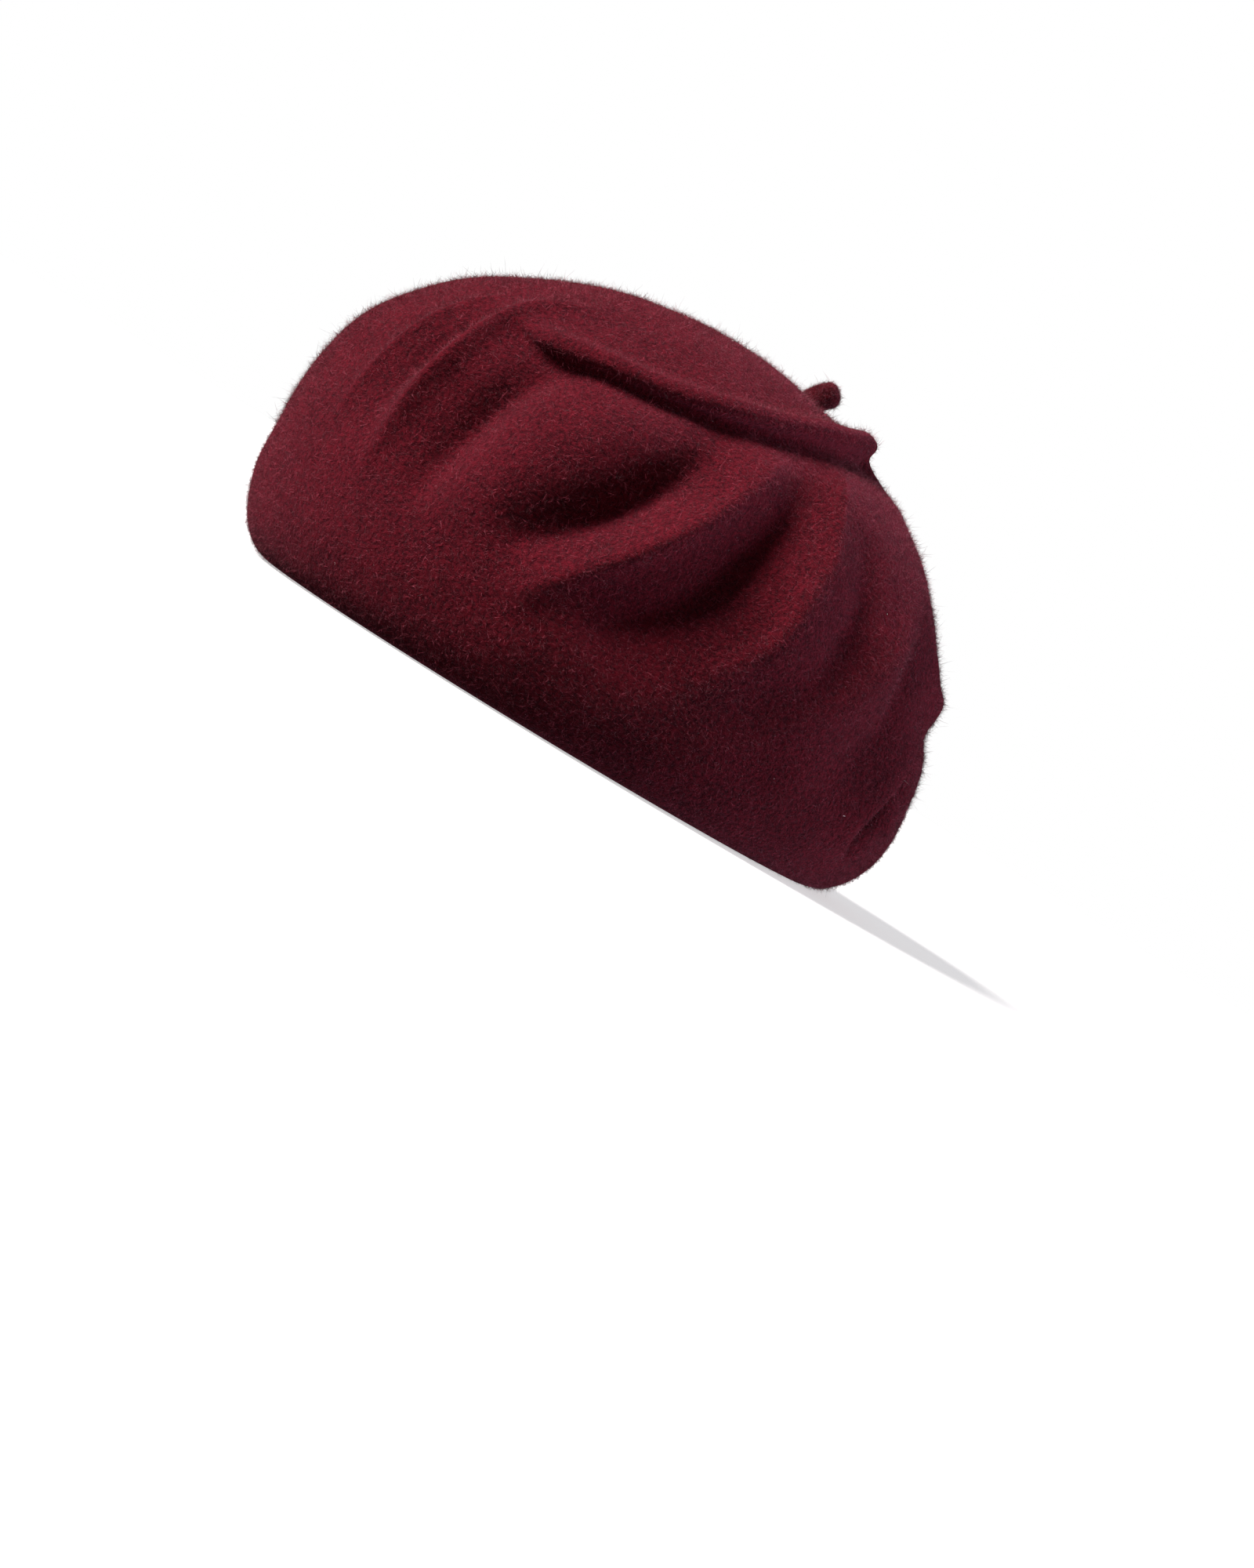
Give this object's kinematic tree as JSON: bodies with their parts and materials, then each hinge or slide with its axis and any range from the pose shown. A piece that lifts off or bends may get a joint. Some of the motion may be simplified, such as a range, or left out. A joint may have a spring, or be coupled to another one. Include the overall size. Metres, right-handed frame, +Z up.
{
  "type": "draped wool felt beret",
  "caption": "Soft wool-felt beret with a blocked crown, a rolled tuck and radiating folds on one side, a felt stalk on top and a ribbon sweatband inside the rim.",
  "frame": {"origin": "centre of the oval head opening, on the plane that the rim rests on", "axes": "+Z up through the crown, -Y to the wearer's front, +Y to the wearer's back, +X to the wearer's left, where the tuck is"},
  "size_m": [0.204, 0.2545, 0.152],
  "materials": {
    "felt": "napped burgundy wool felt, matt, with a soft nap and a fine heather",
    "ribbon": "dark wine grosgrain ribbon, ribbed across, with a low sheen",
    "thread": "matt burgundy sewing thread",
    "label": "blank ivory woven satin label",
    "label_thread": "ivory sewing thread"
  },
  "bodies": {
    "root": {"felt_body": "felt", "stalk_stitches": "thread", "tuck_stitches": "thread", "pleat_tacks": "thread", "sweatband": "ribbon", "sweatband_stitches": "thread", "maker_label": "label", "label_stitches": "label_thread", "bow_loops": "ribbon", "bow_knot": "ribbon"},
    "stalk": {"stalk": "felt"},
    "size_tab": {"size_tab": "label"}
  },
  "joints": [
    {"name": "stalk_lean", "type": "hinge", "parent": "root", "child": "stalk", "pos_m": [0, 0.02556, 0.14517], "axis": [1, 0, 0], "range_deg": [-22, 22], "stiffness_Nm_per_rad": 0.003},
    {"name": "size_tab_lift", "type": "hinge", "parent": "root", "child": "size_tab", "pos_m": [0.07915, 0, 0.0241], "axis": [0, 1, 0], "range_deg": [0, 110]}
  ]
}
